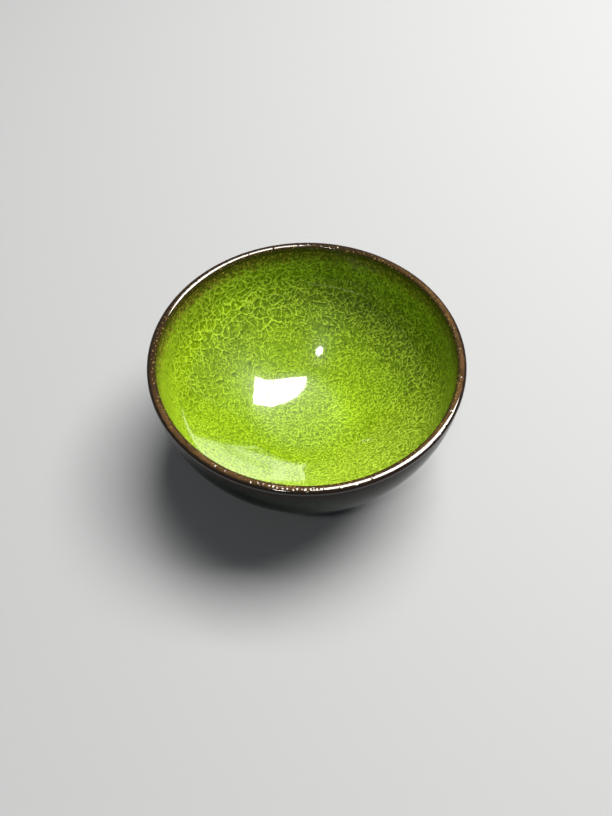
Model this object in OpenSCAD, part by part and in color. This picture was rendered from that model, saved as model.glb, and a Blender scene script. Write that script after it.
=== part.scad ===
// Matcha bowl: a round stoneware tea bowl on a turned foot ring.
// The clay is a thrown body with a foot ring luted into a shallow seat under it. Four fired-on glazes
// cover it: a green crackle liner, a near-black outside coat, an iron band over the lip, and a patch
// inside the foot. Every piece is a solid of revolution about Z, and neighbours meet face to face.
// The origin is the centre of the foot's contact face. Units are millimetres.

/* [Bowl] */
// Diameter at the widest point of the lip, over the glaze
rim_d = 120; // [110:1:130]
// Height from the foot's contact face to the crest of the lip
bowl_h = 61; // [59:0.5:64]
// Depth of the outside curve below the widest point, if it ran on to the axis
outer_drop = 56.5; // [55:0.2:58]
// Fullness of the outside curve: 2 is an ellipse, more is squarer
outer_fullness = 2.2; // [2.1:0.05:2.3]

/* [Inside] */
// Radius of the dished floor
floor_r = 15.2; // [13:0.2:17]
// Slope at the edge of the dished floor, in degrees
floor_slope = 4.5; // [3:0.1:6]
// Radius of the bend from the floor up to the flank
bend_r = 28; // [22:1:34]
// Slope of the flank where it leaves the floor's bend, in degrees
flank_low = 29; // [26:0.5:31]
// Slope of the flank where it meets the shoulder, in degrees
flank_high = 43; // [41:0.5:46]
// Radius of the shoulder, the bend from the flank up to the upright wall
shoulder_r = 18; // [15:0.5:21]
// Height of the upright wall, from the shoulder to the widest point of the lip
upright_h = 14; // [12:0.5:15]
// Lean of the upright wall away from vertical, in degrees
upright_lean = 4.8; // [3:0.2:6]

/* [Lip] */
// Thickness of the lip over the glaze
lip_w = 3.4; // [2.8:0.1:4.5]
// Rise of the rounded lip above its widest point
lip_rise = 1.3; // [1:0.1:2]
// Reach of the iron band down the inside, below the widest point
band_inside = 1.3; // [0.8:0.1:3]
// Reach of the iron band down the outside, below the widest point
band_outside = 2.4; // [1:0.1:5]

/* [Foot] */
// Outside diameter of the foot ring where it meets the body
foot_d = 48; // [42:1:56]
// Width of the foot ring at its top
foot_w = 5.4; // [4.5:0.1:7]
// How far each side of the ring leans in towards its contact face
foot_taper = 0.5; // [0.2:0.1:0.8]
// Radius of the rounded edges of the contact face
foot_round = 0.9; // [0.5:0.1:1.2]
// Depth of the seat in the body that the ring is luted into
seat_depth = 0.8; // [0.4:0.1:1.2]

/* [Glaze] */
// Thickness of the glaze on the walls
glaze_t = 0.5; // [0.3:0.05:0.8]
// How far the clay's dished floor stops inside the glaze's. More makes the glaze pool thicker
pool_run = 1.2; // [0.8:0.1:1.6]
// Bare clay left between the outside glaze and the foot ring, measured along the radius
bare_w = 3; // [1:0.5:6]
// How far the glaze inside the foot climbs the ring's inner wall
well_fillet = 1.4; // [0.8:0.1:2]

/* [Hidden] */

// Steps down an outside wall and down the stretch of it under the band, round each bend of an inside
// wall, round the lip and round a small edge
wall_steps = 44;
band_steps = 4;
bend_steps = 14;
lip_steps = 16;
edge_steps = 6;
// Facets of a turn: above 12, a turn is a true circle
$fn = 180;

rim_r = rim_d / 2;
foot_r = foot_d / 2;
foot_inner_r = foot_r - foot_w;
widest_z = bowl_h - lip_rise;

// An outside wall is [radius at the widest point, drop to the axis, fullness]
clay_outside = [rim_r - glaze_t, outer_drop - glaze_t, outer_fullness];
coat_face = [rim_r, outer_drop, outer_fullness];

// An inside wall is [radius at the widest point, radius of the dished floor, how far it lies under the
// glaze's face]. The clay's floor is smaller than the glaze's, so it lies deeper and the glaze pools on it
liner_face = [rim_r - lip_w, floor_r, 0];
clay_inside = [rim_r - lip_w + glaze_t, floor_r - pool_run, glaze_t];

// The body is turned flat underneath, level with the clay wall at the foot's outside edge
base_z = widest_z - drop_at(clay_outside, foot_r);

// Drop of an outside wall below the widest point at radius r
function drop_at(wall, r) = wall[1] * pow(1 - pow(r / wall[0], wall[2]), 1 / wall[2]);

// Angle round an outside wall at drop d: 0 at the widest point, 90 on the axis
function angle_at(wall, d) = asin(pow(d / wall[1], wall[2] / 2));

// Points down an outside wall from drop d1 to drop d2
function outside_wall(wall, d1, d2, steps) =
    let (t1 = angle_at(wall, d1), t2 = angle_at(wall, d2))
    [for (i = [0:steps]) let (t = t1 + (t2 - t1) * i / steps)
        [wall[0] * pow(cos(t), 2 / wall[2]), widest_z - wall[1] * pow(sin(t), 2 / wall[2])]];

// Slopes where the tangent bends of an inside wall meet: floor, bend, flank and shoulder
slopes = [0, floor_slope, flank_low, flank_high, 90 - upright_lean];

// Radii of those four bends. The flank's radius is the one that brings the wall out to its mouth
function bend_radii(wall) =
    let (
        floor_bend = wall[1] / sin(slopes[1]),
        upright_run = upright_h * tan(upright_lean),
        bend_run = (bend_r + wall[2]) * (sin(slopes[2]) - sin(slopes[1])),
        shoulder_run = (shoulder_r + wall[2]) * (sin(slopes[4]) - sin(slopes[3])),
        flank_run = wall[0] - wall[1] - bend_run - shoulder_run - upright_run
    )
    [floor_bend, bend_r + wall[2], flank_run / (sin(slopes[3]) - sin(slopes[2])), shoulder_r + wall[2]];

// How far out and how far up the first i bends carry an inside wall
function run(radii, i) = i == 0 ? 0 : run(radii, i - 1) + radii[i - 1] * (sin(slopes[i]) - sin(slopes[i - 1]));
function rise(radii, i) = i == 0 ? 0 : rise(radii, i - 1) + radii[i - 1] * (cos(slopes[i - 1]) - cos(slopes[i]));

// Points up an inside wall, from the middle of the floor to drop d on the upright wall
function inside_wall(wall, d) =
    let (radii = bend_radii(wall), floor_z = widest_z - upright_h - rise(radii, 4))
    concat(
        [[0, floor_z]],
        [for (i = [0:3], k = [1:bend_steps])
            let (a = slopes[i] + (slopes[i + 1] - slopes[i]) * k / bend_steps)
            [run(radii, i) + radii[i] * (sin(a) - sin(slopes[i])),
                floor_z + rise(radii, i) + radii[i] * (cos(slopes[i]) - cos(a))]],
        [on_upright(wall, d)]
    );

// The point on the upright part of an inside wall at drop d
function on_upright(wall, d) = [wall[0] - d * tan(upright_lean), widest_z - d];

// The rounded lip that joins an inside wall to an outside wall, from inside to outside
function lip(inside, outside, rise) =
    let (middle = (inside[0] + outside[0]) / 2, half = (outside[0] - inside[0]) / 2)
    [for (i = [1:lip_steps - 1]) let (t = 180 - 180 * i / lip_steps)
        [middle + half * cos(t), widest_z + rise * sin(t)]];

// A quarter turn of radius e about c, starting at angle a
function edge(c, e, a) =
    [for (i = [0:edge_steps]) c + e * [cos(a + 90 * i / edge_steps), sin(a + 90 * i / edge_steps)]];

function backwards(points) = [for (i = [len(points) - 1:-1:0]) points[i]];

// The same points without the first
function forward(points) = [for (i = [1:len(points) - 1]) points[i]];

// The thrown stoneware bowl: wall, lip and floor, with the foot's seat turned into its flat base
module clay_body() {
    color([0.23, 0.17, 0.13])
    rotate_extrude()
    difference() {
        polygon(concat(
            inside_wall(clay_inside, band_inside),
            [on_upright(clay_inside, 0)],
            lip(clay_inside, clay_outside, lip_rise - glaze_t),
            outside_wall(clay_outside, 0, band_outside, band_steps),
            forward(outside_wall(clay_outside, band_outside, drop_at(clay_outside, foot_r), wall_steps)),
            [[0, base_z]]
        ));
        translate([foot_inner_r, base_z - seat_depth])
            square([foot_w - seat_depth, 2 * seat_depth]);
    }
}

// The foot: a ring of the same clay, its tongue luted into the seat, its contact face left bare
module foot_ring() {
    bottom_in = foot_inner_r + foot_taper;
    bottom_out = foot_r - foot_taper;
    color([0.20, 0.15, 0.12])
    rotate_extrude()
    polygon(concat(
        edge([bottom_in + foot_round, foot_round], foot_round, 180),
        edge([bottom_out - foot_round, foot_round], foot_round, 270),
        [
            [foot_r, base_z],
            [foot_r - seat_depth, base_z],
            [foot_r - seat_depth, base_z + seat_depth],
            [foot_inner_r, base_z + seat_depth],
            [foot_inner_r, base_z - glaze_t - well_fillet]
        ]
    ));
}

// The green crackle liner, thin on the wall and pooled on the floor
module inner_glaze() {
    color([0.36, 0.55, 0.09])
    rotate_extrude()
    polygon(concat(
        inside_wall(liner_face, band_inside),
        backwards(inside_wall(clay_inside, band_inside))
    ));
}

// The near-black green coat outside, which stops in a plain line above the foot
module outer_glaze() {
    line_r = foot_r + bare_w;
    color([0.05, 0.08, 0.06])
    rotate_extrude()
    polygon(concat(
        outside_wall(clay_outside, band_outside, drop_at(clay_outside, line_r), wall_steps),
        backwards(outside_wall(coat_face, band_outside, drop_at(coat_face, line_r), wall_steps))
    ));
}

// The iron-brown band that wraps the lip and butts against the two glazes beside it
module rim_glaze() {
    color([0.30, 0.20, 0.11])
    rotate_extrude()
    polygon(concat(
        [on_upright(liner_face, band_inside), on_upright(liner_face, 0)],
        lip(liner_face, coat_face, lip_rise),
        outside_wall(coat_face, 0, band_outside, band_steps),
        backwards(outside_wall(clay_outside, 0, band_outside, band_steps)),
        backwards(lip(clay_inside, clay_outside, lip_rise - glaze_t)),
        [on_upright(clay_inside, 0), on_upright(clay_inside, band_inside)]
    ));
}

// The patch of glaze inside the foot, with a fillet against the ring's inner wall
module foot_well_glaze() {
    face_z = base_z - glaze_t;
    color([0.07, 0.09, 0.06])
    rotate_extrude()
    polygon(concat(
        [[foot_inner_r, base_z], [0, base_z], [0, face_z]],
        backwards(edge([foot_inner_r - well_fillet, face_z - well_fillet], well_fillet, 0))
    ));
}

clay_body();
foot_ring();
inner_glaze();
outer_glaze();
rim_glaze();
foot_well_glaze();
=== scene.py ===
"""The looks of a matcha bowl: glazes, lip, bare clay and foot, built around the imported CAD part."""

from collections import namedtuple
from math import cos, pi, radians, sin

import bpy
import numpy as np
from mathutils import Matrix, Vector


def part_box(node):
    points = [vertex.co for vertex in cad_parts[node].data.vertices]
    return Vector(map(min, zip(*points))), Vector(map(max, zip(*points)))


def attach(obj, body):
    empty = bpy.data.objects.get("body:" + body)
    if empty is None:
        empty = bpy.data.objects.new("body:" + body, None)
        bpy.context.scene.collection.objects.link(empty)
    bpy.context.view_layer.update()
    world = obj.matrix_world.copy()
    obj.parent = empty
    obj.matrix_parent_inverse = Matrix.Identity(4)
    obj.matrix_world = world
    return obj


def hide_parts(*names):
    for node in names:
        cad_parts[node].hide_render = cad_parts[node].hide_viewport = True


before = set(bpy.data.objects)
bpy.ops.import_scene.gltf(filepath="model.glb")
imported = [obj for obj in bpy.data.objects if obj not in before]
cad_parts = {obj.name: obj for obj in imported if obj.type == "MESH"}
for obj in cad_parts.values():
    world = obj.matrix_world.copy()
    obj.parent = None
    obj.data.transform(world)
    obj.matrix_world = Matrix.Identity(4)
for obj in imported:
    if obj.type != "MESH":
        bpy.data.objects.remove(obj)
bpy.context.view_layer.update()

MM = 0.001

# Sizes the CAD part was drawn with that its boxes don't give. Lengths are in metres, slopes in degrees
LIP_WIDTH = 3.4 * MM
LIP_RISE = 1.3 * MM
GLAZE = 0.5 * MM
POOL_RUN = 1.2 * MM
FLOOR_R = 15.2 * MM
BEND_R = 28 * MM
SHOULDER_R = 18 * MM
UPRIGHT_H = 14 * MM
UPRIGHT_LEAN = 4.8
BEND_SLOPES = (0, 4.5, 29, 43, 90 - UPRIGHT_LEAN)
OUTER_DROP = 56.5 * MM
OUTER_FULLNESS = 2.2
BARE_WIDTH = 3.0 * MM
FOOT_WIDTH = 5.4 * MM
FOOT_TAPER = 0.5 * MM
FOOT_ROUND = 0.9 * MM
SEAT_DEPTH = 0.8 * MM
WELL_FILLET = 1.4 * MM

# The lip's crest is a superellipse, a little fuller than the CAD's half ellipse, whose fullness is 2
LIP_FULLNESS = 2.5

# Places from the frame
rim_low, rim_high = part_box("rim_glaze")
_, liner_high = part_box("inner_glaze")
_, foot_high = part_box("foot_ring")

RIM_R = rim_high.x
CREST_Z = rim_high.z
WIDEST_Z = CREST_Z - LIP_RISE
BAND_OUTSIDE = WIDEST_Z - rim_low.z
BAND_INSIDE = WIDEST_Z - liner_high.z
FOOT_R = foot_high.x
FOOT_INNER_R = FOOT_R - FOOT_WIDTH
FOOT_MIDDLE_R = (FOOT_R + FOOT_INNER_R) / 2
SEAT_OUTER_R = FOOT_R - SEAT_DEPTH

# The camera, fitted to the outline of the lip. Angles are in degrees
CAMERA_DISTANCE = 3.889 * RIM_R
CAMERA_ELEVATION = 50.97
CAMERA_PAN = 0.093
CAMERA_TILT = -5.261
CAMERA_ROLL = -0.493
CAMERA_LENS = 27.04
CAMERA_SENSOR = 36

# The lamps hang this high over the lip, and the floor reaches this far from the bowl, in metres
LAMP_HEIGHT = 1.5
FLOOR_REACH = 1.5

# How finely the meshes and the inside wall's outline are divided
SEGMENTS = 360
LIP_SEGMENTS = 1440
WALL_STEPS = 4001

# Edges sharper than this stay sharp, in degrees
SHARP = 50

# A point nearer to the axis than this lies on it, in metres
ON_AXIS = 1e-7

# Keeps a number away from zero
TINY = 1e-12

# An outside wall is a superellipse. An inside wall is a chain of bends: floor is the radius where the first
# one ends, and under is how far the bends lie below the liner's face
Outside = namedtuple("Outside", "radius drop fullness")
Inside = namedtuple("Inside", "radius floor under")
clay_outside = Outside(RIM_R - GLAZE, OUTER_DROP - GLAZE, OUTER_FULLNESS)
coat_face = Outside(RIM_R, OUTER_DROP, OUTER_FULLNESS)
liner_face = Inside(RIM_R - LIP_WIDTH, FLOOR_R, 0)
clay_inside = Inside(RIM_R - LIP_WIDTH + GLAZE, FLOOR_R - POOL_RUN, GLAZE)


# ---------------------------------------------------------------- outlines

def drop_at(wall, r):
    """How far below the widest point an outside wall is at radius r."""
    return wall.drop * (1 - (r / wall.radius) ** wall.fullness) ** (1 / wall.fullness)


def outside_wall(wall, start, end, steps):
    """Points (radius, height) down an outside wall, from one drop below the widest point to another."""
    angle = [np.arcsin((d / wall.drop) ** (wall.fullness / 2)) for d in (start, end)]
    t = np.linspace(*angle, steps)
    r = wall.radius * np.maximum(np.cos(t), 0) ** (2 / wall.fullness)
    z = WIDEST_Z - wall.drop * np.sin(t) ** (2 / wall.fullness)
    return np.column_stack([r, z])


def inside_wall(wall, top, steps, blend=3.0 * MM):
    """Points up an inside wall, from the middle of the floor to a drop of top below the widest point.
    Each bend runs over into the next within the length blend."""
    slope = np.radians(BEND_SLOPES)
    floor_bend = wall.floor / sin(slope[1])
    bend = BEND_R + wall.under
    shoulder = SHOULDER_R + wall.under
    upright_run = UPRIGHT_H * np.tan(radians(UPRIGHT_LEAN))
    flank_run = (wall.radius - wall.floor - bend * (sin(slope[2]) - sin(slope[1]))
                 - shoulder * (sin(slope[4]) - sin(slope[3])) - upright_run)
    flank = flank_run / (sin(slope[3]) - sin(slope[2]))
    lengths = np.append(np.array([floor_bend, bend, flank, shoulder]) * np.diff(slope),
                        UPRIGHT_H / cos(radians(UPRIGHT_LEAN)))
    joins = np.concatenate([[0], np.cumsum(lengths)])
    way = np.linspace(0, joins[-1], WALL_STEPS)
    step = way[1]
    spread = int(blend / step)
    window = np.hanning(spread)
    along = np.arange(-spread, len(way) + spread) * step
    lean = np.interp(np.abs(along), joins, np.append(slope, slope[-1])) * np.sign(along + TINY)
    lean = np.convolve(lean, window / window.sum(), "same")[spread:spread + len(way)]
    r = np.concatenate([[0], np.cumsum(np.cos(lean[1:]))]) * step
    z = np.concatenate([[0], np.cumsum(np.sin(lean[1:]))]) * step
    r *= wall.radius / r[-1]
    z += WIDEST_Z - z[-1]
    end = np.interp(WIDEST_Z - top, z, way)
    stops = np.linspace(0, end, steps)
    return np.column_stack([np.interp(stops, way, r), np.interp(stops, way, z)])


def lip_outline(inside, outside, rise, steps):
    """The rounded lip from an inside wall over to an outside wall, without its two ends."""
    middle = (inside.radius + outside.radius) / 2
    half = (outside.radius - inside.radius) / 2
    t = np.linspace(pi, 0, steps + 2)[1:-1]
    r = middle + half * np.cos(t)
    z = WIDEST_Z + rise * np.sin(t) ** (2 / LIP_FULLNESS)
    return np.column_stack([r, z])


def upright(wall, steps):
    """Points down the upright part of an inside wall, from the widest point to the end of the band."""
    d = np.linspace(0, BAND_INSIDE, steps)
    return np.column_stack([wall.radius - d * np.tan(radians(UPRIGHT_LEAN)), WIDEST_Z - d])


def corner(r, z, radius, start, steps=8):
    """A quarter turn of an outline about (r, z), from the start angle in degrees."""
    t = np.radians(start + np.linspace(0, 90, steps))
    return np.column_stack([r + radius * np.cos(t), z + radius * np.sin(t)])


def line(start, end, steps):
    """Points on a straight stretch of an outline, without its two ends."""
    t = np.linspace(0, 1, steps + 2)[1:-1, None]
    return np.array(start) * (1 - t) + np.array(end) * t


BASE_Z = WIDEST_Z - drop_at(clay_outside, FOOT_R)


# ---------------------------------------------------------------- meshes

def spin(outline, segments):
    """The outline turned round the axis, as a grid [turn, outline, xyz]. It may differ from turn to turn."""
    turn = np.linspace(0, 2 * pi, segments, endpoint=False)[:, None]
    outline = np.broadcast_to(outline, (segments, *np.shape(outline)[-2:]))
    r = outline[:, :, 0]
    z = outline[:, :, 1]
    return np.stack([r * np.cos(turn), r * np.sin(turn), z], 2)


def solid(name, grid):
    """A closed mesh over a grid [turn, outline, xyz]. Outline points on the axis become single points."""
    segments, count = grid.shape[:2]
    on_axis = np.abs(grid[:, :, :2]).max((0, 2)) < ON_AXIS
    number = np.empty((segments, count), int)
    points = []
    for j in range(count):
        if on_axis[j]:
            number[:, j] = len(points)
            points.append(grid[0, j])
        else:
            number[:, j] = len(points) + np.arange(segments)
            points.extend(grid[:, j])
    faces = []
    for j in range(count):
        k = (j + 1) % count
        if on_axis[j] and on_axis[k]:
            continue
        a = number[:, j]
        b = number[:, k]
        c = np.roll(b, -1)
        d = np.roll(a, -1)
        if on_axis[j]:
            corners = [a, b, c]
        elif on_axis[k]:
            corners = [a, b, d]
        else:
            corners = [a, b, c, d]
        faces.extend(np.column_stack(corners).tolist())
    mesh = bpy.data.meshes.new(name)
    mesh.from_pydata(np.array(points).tolist(), [], faces)
    mesh.shade_smooth()
    mesh.set_sharp_from_angle(angle=radians(SHARP))
    piece = bpy.data.objects.new(name, mesh)
    bpy.context.scene.collection.objects.link(piece)
    return piece


def waves(segments, seed, counts):
    """A closed wavy line round the bowl, from about -1 to 1, made of a few waves."""
    rng = np.random.default_rng(seed)
    turn = np.linspace(0, 2 * pi, segments, endpoint=False)
    wave = sum(rng.uniform(0.5, 1) * np.sin(n * turn + rng.uniform(0, 2 * pi)) / n ** 0.5 for n in counts)
    return wave / np.abs(wave).max()


def outward(grid):
    """Unit normals of a grid, pointing to the left of the way its outline runs."""
    along = np.roll(grid, -1, 1) - np.roll(grid, 1, 1)
    around = np.roll(grid, -1, 0) - np.roll(grid, 1, 0)
    normal = np.cross(around, along)
    return normal / np.maximum(np.linalg.norm(normal, axis=2, keepdims=True), TINY)


def dimple(grid, centre, size, depth, normal):
    """Presses a round dimple into a grid, or raises a blister where depth is negative."""
    away = np.linalg.norm(grid - centre, axis=2)
    near = away < 2.5 * size
    push = depth * np.exp(-(away[near] / size) ** 2)
    grid[near] -= push[:, None] * normal[near]


# ---------------------------------------------------------------- materials

class Nodes:
    """Short ways to add shader nodes to a new material. Values may be numbers, colours or sockets.
    Lengths in the shaders are millimetres."""

    def __init__(self, name):
        self.material = bpy.data.materials.new(name)
        self.material.use_nodes = True
        self.tree = self.material.node_tree
        self.tree.nodes.clear()
        self.shader = self.add("ShaderNodeBsdfPrincipled")
        output = self.add("ShaderNodeOutputMaterial")
        self.tree.links.new(self.shader.outputs[0], output.inputs["Surface"])
        place = self.add("ShaderNodeTexCoord").outputs["Object"]
        self.place = self.vector("SCALE", place, scale=1 / MM)
        self.x, self.y, self.height = self.split(self.place)
        across = self.plus(self.math("POWER", self.x, 2.0), self.math("POWER", self.y, 2.0))
        self.radius = self.math("SQRT", across)

    def add(self, kind, **settings):
        node = self.tree.nodes.new(kind)
        for key, value in settings.items():
            setattr(node, key, value)
        return node

    def put(self, socket, value):
        """Links a socket to another one, or sets it to a number or colour."""
        if isinstance(value, bpy.types.NodeSocket):
            self.tree.links.new(value, socket)
        else:
            socket.default_value = value

    def set(self, **values):
        """Sets the main shader's inputs, named with underscores for spaces."""
        for name, value in values.items():
            self.put(self.shader.inputs[name.replace("_", " ")], value)

    def math(self, operation, *values):
        node = self.add("ShaderNodeMath", operation=operation)
        for socket, value in zip(node.inputs, values):
            self.put(socket, value)
        return node.outputs[0]

    def plus(self, a, b):
        return self.math("ADD", a, b)

    def minus(self, a, b):
        return self.math("SUBTRACT", a, b)

    def times(self, *values):
        product = values[0]
        for value in values[1:]:
            product = self.math("MULTIPLY", product, value)
        return product

    def most(self, *values):
        largest = values[0]
        for value in values[1:]:
            largest = self.math("MAXIMUM", largest, value)
        return largest

    def vector(self, operation, *values, scale=None):
        node = self.add("ShaderNodeVectorMath", operation=operation)
        for socket, value in zip(node.inputs, values):
            self.put(socket, value)
        if scale is not None:
            self.put(node.inputs["Scale"], scale)
        return node.outputs[0]

    def split(self, vector):
        node = self.add("ShaderNodeSeparateXYZ")
        self.put(node.inputs[0], vector)
        return node.outputs

    def join(self, x, y, z):
        node = self.add("ShaderNodeCombineXYZ")
        for socket, value in zip(node.inputs, (x, y, z)):
            self.put(socket, value)
        return node.outputs[0]

    def ease(self, value, low, high, start=0.0, end=1.0):
        """A smooth step of value from start at low to end at high."""
        node = self.add("ShaderNodeMapRange", interpolation_type="SMOOTHSTEP")
        for socket, v in zip(node.inputs, (value, low, high, start, end)):
            self.put(socket, v)
        return node.outputs[0]

    def mix(self, factor, a, b, blend="MIX"):
        node = self.add("ShaderNodeMix", data_type="RGBA", blend_type=blend)
        self.put(node.inputs["Factor"], factor)
        self.put(node.inputs[6], a)
        self.put(node.inputs[7], b)
        return node.outputs[2]

    def noise(self, size, place=None, detail=2.0, roughness=0.5, output=0):
        """Noise from 0 to 1 whose features are about size millimetres across."""
        node = self.add("ShaderNodeTexNoise")
        self.put(node.inputs["Vector"], place or self.place)
        self.put(node.inputs["Scale"], 1 / size)
        self.put(node.inputs["Detail"], detail)
        self.put(node.inputs["Roughness"], roughness)
        return node.outputs[output]

    def wobble(self, size, amount):
        """Noise from minus to plus half of amount, with features about size millimetres across."""
        return self.times(self.minus(self.noise(size), 0.5), amount)

    def towards(self, x, y):
        """How far a place lies from the axis in the direction (x, y). The near side has negative y."""
        return self.plus(self.times(self.x, x), self.times(self.y, y))

    def cells(self, size, place):
        """Distance in millimetres to the edge of flat cells about size millimetres across."""
        node = self.add("ShaderNodeTexVoronoi", feature="DISTANCE_TO_EDGE", voronoi_dimensions="2D")
        self.put(node.inputs["Vector"], place)
        self.put(node.inputs["Scale"], 1 / size)
        return self.times(node.outputs["Distance"], size)

    def stir(self, place, size, amount, detail=1.0):
        """The place moved about by noise, by up to about half of amount millimetres."""
        wander = self.vector("SUBTRACT", self.noise(size, place, detail, output="Color"), (0.5, 0.5, 0.5))
        return self.vector("ADD", place, self.vector("SCALE", wander, scale=amount))

    def bump(self, height, depth):
        """A relief of depth millimetres where height runs from 0 to 1."""
        node = self.add("ShaderNodeBump")
        self.put(node.inputs["Height"], height)
        self.put(node.inputs["Distance"], depth * MM)
        self.put(self.shader.inputs["Normal"], node.outputs[0])


def srgb(red, green, blue):
    """A colour given as it looks on a screen, from 0 to 255, as the linear colour that shaders use."""
    linear = [c / 255 / 12.92 if c < 11 else ((c / 255 + 0.055) / 1.055) ** 2.4
              for c in (red, green, blue)]
    return (*linear, 1.0)


def lay_flat(n):
    """The bowl's inside laid flat: how far up it a point is, along the surface from the middle of the floor,
    how much it is spread there, and the point's place on the flat sheet."""
    floor_height = inside_wall(liner_face, 0, 2)[0, 1] / MM
    lift = n.minus(n.height, floor_height)
    # The way up the surface is about the radius and a small share of the lift squared
    curl = 0.013
    climb = n.plus(n.radius, n.times(curl, lift, lift))
    # The sheet is also stretched outwards, most at the lip
    way_to_lip = 83.0
    lip_stretch = 0.18
    stretch = n.times(lip_stretch, n.math("POWER", n.math("DIVIDE", climb, way_to_lip), 3.0))
    outwards = n.times(climb, n.plus(1.0, stretch))
    spread = n.math("DIVIDE", outwards, n.most(n.radius, 0.01))
    flat = n.join(n.times(n.x, spread), n.times(n.y, spread), 0.0)
    return climb, spread, flat


def crystal_network(n, wall, calm, climb, spread, flat):
    """The light lines of the crackle and the painted shade in dark strips to one side of them, both from 0
    to 1.
    """
    wavy = n.stir(n.stir(flat, 9, 8, detail=0), 1.8, 1.2)
    # Painted shade: dark strips made of the same network, moved a little to one side, as if the lines were
    # raised ridges lit from the other side
    beside = n.vector("ADD", wavy, n.vector("SCALE", n.join(-0.32, 0.55, 0.0), scale=spread))
    # The cells come in three sizes, in patches. The larger ones are higher up, and fewer near left and right
    size_class = n.plus(n.ease(climb, 8, 60, 0.10, 0.74), n.wobble(5, 1.4))
    size_class = n.minus(size_class, n.most(n.times(calm, 0.45), n.ease(n.x, 0, 35, 0, 0.22)))
    coarse_share = n.ease(size_class, 0.58, 0.66)
    fine_share = n.ease(size_class, 0.36, 0.28)
    middle_share = n.minus(n.minus(1.0, coarse_share), fine_share)
    shares = ((4.8, coarse_share), (3.2, middle_share), (1.8, fine_share))
    width = n.ease(climb, 40, 75, 0.5, 0.75)

    def edges(place, size, half_width):
        gap = n.math("DIVIDE", n.cells(size, place), spread)
        return n.ease(gap, n.times(half_width, 0.1), half_width, 1, 0)

    def network(place):
        coarse, middle, fine = [n.times(edges(place, size, width), share) for size, share in shares]
        return n.plus(coarse, n.plus(middle, fine))

    # The lines are short, but less broken on the left
    unbroken = n.times(wall, n.ease(n.x, -25, 15, 0.4, 0.1))
    broken = n.ease(n.noise(1.0, detail=1), 0.40, 0.56, unbroken, 1.0)
    # Faint finer lines run inside the cells
    inner = n.times(edges(n.stir(flat, 2.5, 2.5), 2.0, 0.4), n.ease(n.noise(2.0), 0.45, 0.6, 0, 0.55))
    lines = n.most(n.times(network(wavy), broken), inner)
    seen = n.minus(1.0, n.times(calm, 0.3))
    # Painted shade in strips beside the lines, left out where the lines themselves lie
    painted_shade_strips = n.times(network(beside), n.minus(1.0, lines))
    painted_shade_strips = n.times(painted_shade_strips, seen, n.ease(n.noise(1.7), 0.32, 0.55, 0.25, 1.0))
    return n.times(lines, seen), painted_shade_strips


def leaf_green(n, wall, bold, pale, climb):
    """The mottled green between the lines."""
    leaf = n.mix(n.ease(n.noise(6), 0.35, 0.65), srgb(84, 110, 4), srgb(94, 120, 6))
    leaf = n.mix(wall, leaf, srgb(90, 116, 4))
    leaf = n.mix(n.times(n.ease(climb, 54, 74), n.minus(1.0, bold)), leaf, srgb(120, 144, 14))
    leaf = n.mix(n.ease(n.noise(0.9), 0.3, 0.7, 0, 0.8), leaf, srgb(74, 97, 3))
    leaf = n.mix(n.times(bold, n.ease(n.noise(2.4), 0.4, 0.62)), leaf, srgb(63, 84, 2))
    # Painted light: the green between the lines is paler on the near right
    return n.mix(n.times(pale, 0.2), leaf, srgb(150, 176, 54))


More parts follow.
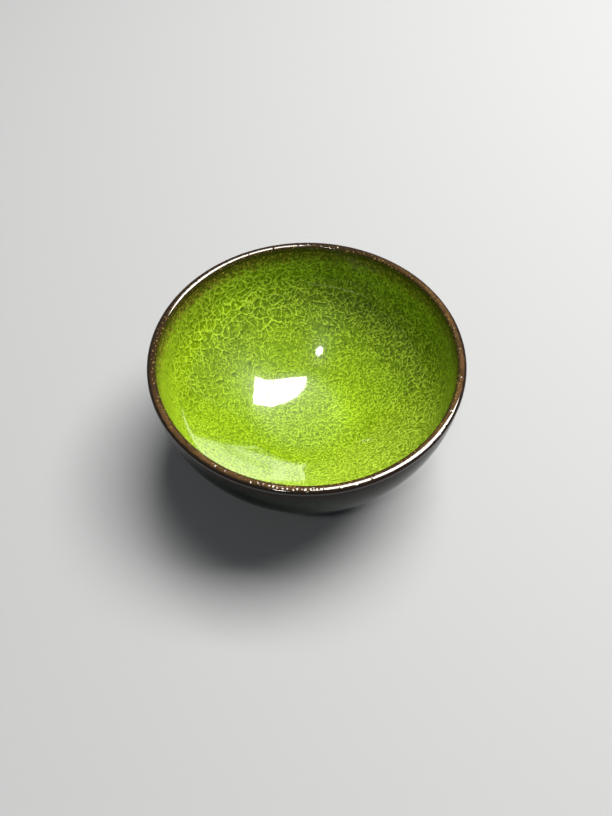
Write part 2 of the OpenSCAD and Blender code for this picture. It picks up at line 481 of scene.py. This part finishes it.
def crackle_glaze():
    """Green glaze with a light crystal network, coarse on the wall and fine on the floor, stained by iron up
    to the lip. Short dark strips of painted shade lie beside the network's lines."""
    n = Nodes("crackle_green_glaze")
    climb, spread, flat = lay_flat(n)
    wall = n.ease(climb, 24, 60)
    # The network is bolder on the far side, most of all on its right, and calmer on the near left
    bold = n.times(wall, n.ease(n.towards(0.35, 0.8), -28, 38, 0, 0.85))
    calm = n.times(n.ease(n.towards(0.5, 0.85), -6, -34), n.ease(climb, 20, 38))
    # Painted light: the colour is made paler on the near right
    pale = n.ease(n.towards(0.5, -0.85), 12, 36)
    lines, painted_shade_strips = crystal_network(n, wall, calm, climb, spread, flat)

    colour = leaf_green(n, wall, bold, pale, climb)
    # Painted shade: the colour of the dark strips beside the lines, darker where the network is bolder
    painted_shade_colour = n.mix(bold, srgb(46, 55, 2), srgb(32, 44, 1))
    colour = n.mix(n.times(painted_shade_strips, n.ease(wall, 0, 1, 0.62, 0.88)), colour, painted_shade_colour)
    # Iron from the lip stains the top of the glaze olive under the network, and brown over it
    edge = n.plus(n.height, n.wobble(2.2, 8.0))
    top = liner_high.z / MM
    colour = n.mix(n.ease(edge, top - 9, top - 1, 0, 0.7), colour, srgb(60, 62, 6))
    # Painted light: the lines are paler on the near right
    line_colour = n.mix(pale, srgb(142, 170, 36), srgb(168, 194, 64))
    line_colour = n.mix(bold, line_colour, srgb(158, 192, 46))
    # Painted highlight: small bright glints on the lines where the network is bolder
    line_colour = n.mix(n.times(bold, n.ease(n.noise(0.7), 0.56, 0.66)), line_colour, srgb(196, 218, 92))
    colour = n.mix(n.times(lines, n.ease(wall, 0, 1, 0.48, 0.78)), colour, line_colour)
    colour = n.mix(n.ease(edge, top - 6, top - 1, 0, 0.95), colour, srgb(50, 42, 13))
    specks = n.times(n.ease(n.noise(0.9, detail=1), 0.56, 0.64), n.ease(edge, top - 9, top - 3))
    colour = n.mix(specks, colour, srgb(132, 116, 44))
    # Painted light and shade: the colour is made brighter right of the middle of the floor and high on the
    # far side, and dimmer on the far left
    painted_light_factor = (1.3, 1.3, 1.3, 1)
    painted_shade_factor = (0.76, 0.76, 0.76, 1)
    floor_right_painted_light = n.times(n.ease(n.x, 2, 20), n.ease(n.y, -14, 2), n.ease(climb, 50, 34))
    far_high_painted_light = n.times(n.ease(climb, 56, 66), n.ease(climb, 80, 72), n.ease(n.x, 14, 0), n.ease(n.y, 34, 44))
    far_left_painted_shade = n.times(n.ease(n.towards(-0.85, 0.5), 30, 42), n.ease(climb, 64, 52))
    # Painted light right of the floor's middle and high on the far side
    colour = n.mix(n.most(floor_right_painted_light, far_high_painted_light), colour, painted_light_factor, "MULTIPLY")
    # Painted shade on the far left of the flank
    colour = n.mix(far_left_painted_shade, colour, painted_shade_factor, "MULTIPLY")
    n.set(Base_Color=colour, Roughness=0.3, Specular_IOR_Level=0.15)
    n.set(Coat_Weight=1.0, Coat_Roughness=0.045, Coat_IOR=1.45)
    n.bump(n.noise(2.5), 0.0008)
    return n.material


def coat_glaze():
    """Near-black green glaze that turns brown where it thins under the lip."""
    n = Nodes("dark_green_glaze")
    mottle = n.noise(3.0, n.stir(n.place, 5, 3), detail=4)
    colour = n.mix(n.ease(mottle, 0.35, 0.7), srgb(9, 15, 10), srgb(20, 33, 17))
    under_lip = n.plus(n.height, n.wobble(1.5, 2.0))
    top = rim_low.z / MM
    colour = n.mix(n.ease(under_lip, top - 2.5, top + 0.5), colour, srgb(38, 26, 20))
    n.set(Base_Color=colour, Specular_IOR_Level=0.04)
    n.set(Roughness=n.ease(n.noise(4), 0.3, 0.7, 0.08, 0.16))
    n.bump(n.noise(2.0), 0.006)
    return n.material


def lip_glaze():
    """Iron glaze: rusty where it breaks over the crest, near black outside it, olive inside it."""
    n = Nodes("iron_brown_glaze")
    mottle = n.noise(1.2, n.stir(n.place, 2, 1.5), detail=4)
    # How far outside the crest line a point is, give or take
    beyond = n.minus(n.radius, (RIM_R - LIP_WIDTH / 2) / MM)
    beyond = n.plus(beyond, n.wobble(2.5, 1.0))
    # The glaze ran thin on the right and the front left of the lip
    thin = n.most(n.ease(n.x, 20, 52), n.ease(n.towards(-0.5, -1.0), 30, 62))
    rust = n.mix(n.times(thin, n.ease(n.noise(12), 0.35, 0.6, 0.4, 1.0)), srgb(32, 23, 14), srgb(68, 49, 28))
    olive = n.mix(mottle, srgb(34, 30, 8), srgb(44, 32, 13))
    colour = n.mix(n.ease(beyond, -1.3, -0.5), olive, rust)
    colour = n.mix(n.ease(beyond, 0.2, 1.0), colour, srgb(19, 13, 8))
    colour = n.mix(n.ease(mottle, 0.45, 0.7, 0, 0.5), colour, srgb(30, 20, 11))
    specks = n.times(n.ease(n.noise(0.8, detail=1), 0.61, 0.69), n.ease(beyond, 0.4, -0.6, 0, 0.7))
    colour = n.mix(specks, colour, srgb(122, 100, 52))
    # The shine is strong on the crest and inside it, and fades out outside, below the widest point
    widest = WIDEST_Z / MM
    crest_shine = n.ease(n.height, widest - 0.6, widest + 0.2, 0, 0.85)
    inside_shine = n.ease(beyond, 0.5, 0, 0, 0.85)
    n.set(Base_Color=colour, Specular_IOR_Level=0.04)
    n.set(Roughness=n.ease(n.noise(1.2), 0.3, 0.7, 0.06, 0.14))
    n.set(Coat_Weight=n.most(crest_shine, inside_shine), Coat_Roughness=0.06, Coat_IOR=1.5)
    n.bump(n.noise(0.8), 0.0025)
    return n.material


def bare_clay(name, dark, light):
    """Sandy fired stoneware."""
    n = Nodes(name)
    grain = n.noise(0.35, detail=4, roughness=0.7)
    colour = n.mix(n.ease(grain, 0.3, 0.7), dark, light)
    colour = n.mix(n.ease(n.noise(0.5), 0.68, 0.74), colour, srgb(150, 130, 104))
    colour = n.mix(n.ease(n.noise(8), 0.4, 0.7, 0, 0.4), colour, srgb(84, 50, 30))
    n.set(Base_Color=colour, IOR=1.45)
    n.set(Roughness=n.ease(grain, 0.3, 0.7, 0.75, 0.95))
    n.bump(grain, 0.05)
    return n.material


def well_glaze():
    """Thin glaze brushed round inside the foot, with the clay showing through between the strokes."""
    n = Nodes("foot_well_glaze")
    turn = n.math("ARCTAN2", n.y, n.x)
    stroke = n.join(n.radius, n.times(turn, 2.0), 0.0)
    swirl = n.noise(1.4, n.stir(stroke, 6, 2.5), detail=3)
    colour = n.mix(n.ease(swirl, 0.35, 0.65), srgb(18, 26, 15), srgb(52, 54, 28))
    n.set(Base_Color=colour, IOR=1.5)
    n.set(Roughness=n.ease(swirl, 0.3, 0.7, 0.07, 0.2))
    n.bump(swirl, 0.03)
    return n.material


# ---------------------------------------------------------------- pieces

def finish_piece(piece, node, material):
    """Gives a piece its material and takes it into the frame in place of its CAD node."""
    piece.data.materials.append(material)
    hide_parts(node)
    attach(piece, "root")


def make_liner():
    """The green coat of the inside, thicker where it pools on the floor."""
    outline = np.vstack([
        inside_wall(liner_face, BAND_INSIDE, 170),
        inside_wall(clay_inside, BAND_INSIDE, 60)[::-1],
    ])
    return solid("crackle_liner", spin(outline, SEGMENTS))


def make_coat():
    """The outside coat, which ends in a wavy rolled edge above the foot."""
    # In millimetres: the gap to the end of the coat's room, its waves, and the roll at its end
    mean_gap = 0.9
    wave_height = 0.8
    roll_length = 0.5
    swell_place = 0.8
    swell_height = 0.35
    full_drop = drop_at(coat_face, FOOT_R + BARE_WIDTH)
    ends = full_drop - MM * (mean_gap + wave_height * waves(SEGMENTS, 5, (2, 3, 5, 9, 14)))
    outlines = []
    for end in ends:
        under = outside_wall(clay_outside, BAND_OUTSIDE, end, 30)
        face = outside_wall(coat_face, BAND_OUTSIDE, end, 150)
        to_end = (end - (WIDEST_Z - face[:, 1])) / MM
        # The roll swells over the last two millimetres and turns in to the clay at the end
        quarter_turn = np.sqrt(np.maximum(1 - (1 - to_end / roll_length) ** 2, 0))
        roll = np.where(to_end < roll_length, quarter_turn, 1)
        swell = swell_height * MM * np.exp(-((to_end - swell_place) / swell_place) ** 2)
        way = np.gradient(face, axis=0)
        way /= np.linalg.norm(way, axis=1, keepdims=True)
        normal = np.column_stack([-way[:, 1], way[:, 0]])
        normal[:, 0] = np.abs(normal[:, 0])
        normal[:, 1] = -np.abs(normal[:, 1])
        depth = GLAZE * (roll - 1) + swell * roll
        outlines.append(np.vstack([under, (face + normal * depth[:, None])[::-1]]))
    return solid("outside_coat", spin(np.array(outlines), SEGMENTS))


def make_lip():
    """The band over the lip, pitted where gas broke through the iron glaze."""
    face = np.vstack([
        upright(liner_face, 7)[::-1],
        lip_outline(liner_face, coat_face, LIP_RISE, 28),
        outside_wall(coat_face, 0, BAND_OUTSIDE, 10),
    ])
    back = np.vstack([
        outside_wall(clay_outside, 0, BAND_OUTSIDE, 3)[::-1],
        lip_outline(clay_inside, clay_outside, LIP_RISE - GLAZE, 8)[::-1],
        upright(clay_inside, 3),
    ])
    grid = spin(np.vstack([face, back]), LIP_SEGMENTS)
    normal = outward(grid)
    rng = np.random.default_rng(11)
    patches = waves(LIP_SEGMENTS, 3, (1, 2, 5, 8))
    pit_tries = 300
    beads = 80
    # In grid steps: the crest's part of the face, how far marks keep from its ends, and how far they reach
    crest = (17, 24)
    margin = 3
    reach = 8

    def mark(i, j, size, depth):
        near = np.arange(i - reach, i + reach + 1) % LIP_SEGMENTS
        part = grid[near, :len(face)]
        dimple(part, grid[i, j], size * MM, depth * MM, normal[near, :len(face)])
        grid[near, :len(face)] = part

    # Pits, and half as many blisters, lie in patches all round
    for _ in range(pit_tries):
        i = rng.integers(LIP_SEGMENTS)
        j = rng.integers(margin, len(face) - margin)
        if patches[i] > rng.uniform(-0.8, 0.8):
            mark(i, j, rng.uniform(0.2, 0.45), rng.choice([-1, 1, 1]) * rng.uniform(0.04, 0.12))
    # Small blisters, like beads, crowd along the crest at the front left, between two turns in degrees
    first, last = [LIP_SEGMENTS * turn // 360 for turn in (235, 275)]
    for i in rng.integers(first, last, beads):
        mark(i, rng.integers(*crest), rng.uniform(0.2, 0.28), -rng.uniform(0.04, 0.08))
    return solid("lip_band", grid)


def make_body():
    """The clay body, with the seat for the foot. Its outline is finer above the foot, where it is bare."""
    bare_drop = drop_at(clay_outside, FOOT_R + 2 * BARE_WIDTH)
    outline = np.vstack([
        inside_wall(clay_inside, 0, 60),
        lip_outline(clay_inside, clay_outside, LIP_RISE - GLAZE, 10),
        outside_wall(clay_outside, 0, bare_drop, 60)[:-1],
        outside_wall(clay_outside, bare_drop, drop_at(clay_outside, FOOT_R), 50),
        [
            [SEAT_OUTER_R, BASE_Z],
            [SEAT_OUTER_R, BASE_Z + SEAT_DEPTH],
            [FOOT_INNER_R, BASE_Z + SEAT_DEPTH],
            [FOOT_INNER_R, BASE_Z],
            [0, BASE_Z],
        ],
    ])
    return solid("thrown_body", spin(outline, SEGMENTS))


def make_foot():
    """The foot ring, with the fine spiral groove of a turning tool on its two sides."""
    groove_pitch = 1.1 * MM
    groove_depth = 0.07 * MM
    bottom_in = FOOT_INNER_R + FOOT_TAPER
    bottom_out = FOOT_R - FOOT_TAPER
    top_in = BASE_Z - GLAZE - WELL_FILLET
    outline = np.vstack([
        corner(bottom_in + FOOT_ROUND, FOOT_ROUND, FOOT_ROUND, 180),
        line([bottom_in + FOOT_ROUND, 0], [bottom_out - FOOT_ROUND, 0], 8),
        corner(bottom_out - FOOT_ROUND, FOOT_ROUND, FOOT_ROUND, 270),
        line([bottom_out, FOOT_ROUND], [FOOT_R, BASE_Z], 60),
        [
            [FOOT_R, BASE_Z],
            [SEAT_OUTER_R, BASE_Z],
            [SEAT_OUTER_R, BASE_Z + SEAT_DEPTH],
            [FOOT_INNER_R, BASE_Z + SEAT_DEPTH],
            [FOOT_INNER_R, top_in],
        ],
        line([FOOT_INNER_R, top_in], [bottom_in, FOOT_ROUND], 40),
    ])
    grid = spin(outline, SEGMENTS)
    z = grid[:, :, 2]
    turn = np.linspace(0, 1, SEGMENTS, endpoint=False)[:, None]
    r = outline[:, 0]
    on_side = np.abs(r - FOOT_MIDDLE_R) > FOOT_WIDTH / 2 - FOOT_TAPER - 0.01 * MM
    groove = 0.5 - 0.5 * np.cos(2 * pi * (z / groove_pitch + turn))
    # The groove fades out over a millimetre towards the foot's rounded edge and its top
    fade = np.clip((z - FOOT_ROUND) / MM, 0, 1) * np.clip((top_in - z) / MM, 0, 1) * on_side
    inwards = np.where(r > FOOT_MIDDLE_R, -1, 1)
    move = 1 + groove_depth * groove * fade * inwards / np.maximum(r, FOOT_INNER_R)
    grid[:, :, :2] *= move[:, :, None]
    return solid("turned_foot", grid)


def make_well():
    """The glaze inside the foot, with a fillet up to the foot's inner side."""
    face_z = BASE_Z - GLAZE
    outline = np.vstack([
        [[FOOT_INNER_R, BASE_Z], [0, BASE_Z], [0, face_z]],
        line([0, face_z], [FOOT_INNER_R - WELL_FILLET, face_z], 20),
        corner(FOOT_INNER_R - WELL_FILLET, face_z - WELL_FILLET, WELL_FILLET, 0)[::-1],
    ])
    return solid("well_patch", spin(outline, SEGMENTS))


finish_piece(make_liner(), "inner_glaze", crackle_glaze())
finish_piece(make_coat(), "outer_glaze", coat_glaze())
finish_piece(make_lip(), "rim_glaze", lip_glaze())
finish_piece(make_body(), "clay_body",
             bare_clay("body_clay", srgb(62, 44, 32), srgb(96, 72, 54)))
finish_piece(make_foot(), "foot_ring",
             bare_clay("foot_clay", srgb(56, 40, 30), srgb(88, 66, 50)))
finish_piece(make_well(), "foot_well_glaze", well_glaze())


# ---------------------------------------------------------------- camera, lights and floor

def make_camera():
    """The camera stands a little under four lip radii from the middle of the lip, looking down."""
    elevation = radians(CAMERA_ELEVATION)
    offset = Vector((0, -cos(elevation), sin(elevation)))
    side = Vector((1, 0, 0))
    up = offset.cross(side)
    towards_lip = Matrix((side, up, offset)).transposed()
    pan = Matrix.Rotation(radians(CAMERA_PAN), 3, "Y")
    tilt = Matrix.Rotation(radians(CAMERA_TILT), 3, "X")
    roll = Matrix.Rotation(radians(CAMERA_ROLL), 3, "Z")
    aim = towards_lip @ (pan @ tilt @ roll)
    place = Vector((0, 0, WIDEST_Z)) + CAMERA_DISTANCE * offset
    camera = bpy.data.objects.new("camera", bpy.data.cameras.new("camera"))
    camera.data.lens = CAMERA_LENS
    camera.data.sensor_width = CAMERA_SENSOR
    camera.data.clip_start = 0.01
    camera.matrix_world = Matrix.Translation(place) @ aim.to_4x4()
    bpy.context.scene.collection.objects.link(camera)
    bpy.context.scene.camera = camera


def flat_piece(name, corners):
    """A level face with the given corners. Gives the piece and the node tree of its material."""
    mesh = bpy.data.meshes.new(name)
    mesh.from_pydata(corners, [], [range(len(corners))])
    piece = bpy.data.objects.new(name, mesh)
    bpy.context.scene.collection.objects.link(piece)
    material = bpy.data.materials.new(name)
    material.use_nodes = True
    mesh.materials.append(material)
    return piece, material.node_tree


def make_lamp(name, corners, strength):
    """A flat lamp over the bowl. Its corners are (x, y), with the height of the lamps as the unit."""
    z = WIDEST_Z + LAMP_HEIGHT
    lamp, tree = flat_piece(name, [(x * LAMP_HEIGHT, y * LAMP_HEIGHT, z) for x, y in corners])
    tree.nodes.clear()
    glow = tree.nodes.new("ShaderNodeEmission")
    glow.inputs["Color"].default_value = (1, 0.98, 0.9, 1)
    glow.inputs["Strength"].default_value = strength
    output = tree.nodes.new("ShaderNodeOutputMaterial")
    tree.links.new(glow.outputs[0], output.inputs["Surface"])


def make_panel():
    """The large lamp: a panel in four parts. Its plainer corner ends in a bright band, and a dim strip
    divides the band from the rest."""
    band = [(0.365, 0.02), (0.385, 0.15), (0.375, 0.296), (0.332, 0.401), (0.27, 0.477), (0.172, 0.537),
            (0.07, 0.57), (0.01, 0.52)]
    strip = np.array([(0.447, 0.01), (0.457, 0.2), (0.44, 0.3), (0.38, 0.385), (0.31, 0.463), (0.25, 0.505)])
    half_width = np.array([0.026, 0.028, 0.028, 0.024, 0.018, 0.004])
    way = np.gradient(strip, axis=0)
    way /= np.linalg.norm(way, axis=1, keepdims=True)
    aside = half_width[:, None] * np.column_stack([way[:, 1], -way[:, 0]])
    band_side = (strip - aside).tolist()
    rest_side = (strip + aside).tolist()
    meeting = (0.30, 0.545)
    band_end = [(0.11, 0.59), (0.06, 0.595), (0.024, 0.556)]
    rest_end = [(0.48, 0.53), (0.82, 0.567), (0.92, 0.41), (0.915, 0.19), (0.843, 0.023), (0.75, -0.013)]
    make_lamp("corner_lamp", [(0, 0.04), *band], 33)
    make_lamp("band_lamp", [*band[::-1], *band_side, meeting, *band_end], 48)
    make_lamp("strip_lamp", [*band_side, *rest_side[::-1]], 20)
    make_lamp("rest_lamp", [*rest_side, meeting, *rest_end], 39)


def make_oval_lamp():
    """The small strong lamp, which shows as the dot in the middle of the bowl."""
    x, y = -0.195, -0.448
    half_width, half_depth = 0.05, 0.027
    turn = np.linspace(0, 2 * pi, 24, endpoint=False)
    make_lamp("oval_lamp", [(x + half_width * cos(a), y + half_depth * sin(a)) for a in turn], 180)


def make_floor():
    """A plain pale floor."""
    far = FLOOR_REACH
    floor, tree = flat_piece("floor", [(-far, -far, 0), (far, -far, 0), (far, far, 0), (-far, far, 0)])
    shader = tree.nodes["Principled BSDF"]
    shader.inputs["Base Color"].default_value = (0.20, 0.205, 0.22, 1)
    shader.inputs["Roughness"].default_value = 0.8


def make_world():
    """Dim, slightly blue light from all round."""
    world = bpy.data.worlds.new("studio")
    world.use_nodes = True
    background = world.node_tree.nodes["Background"]
    background.inputs["Color"].default_value = (0.85, 0.93, 1.0, 1)
    background.inputs["Strength"].default_value = 0.12
    bpy.context.scene.world = world


make_camera()
make_panel()
make_oval_lamp()
make_floor()
make_world()
bpy.context.scene.view_settings.view_transform = "Standard"
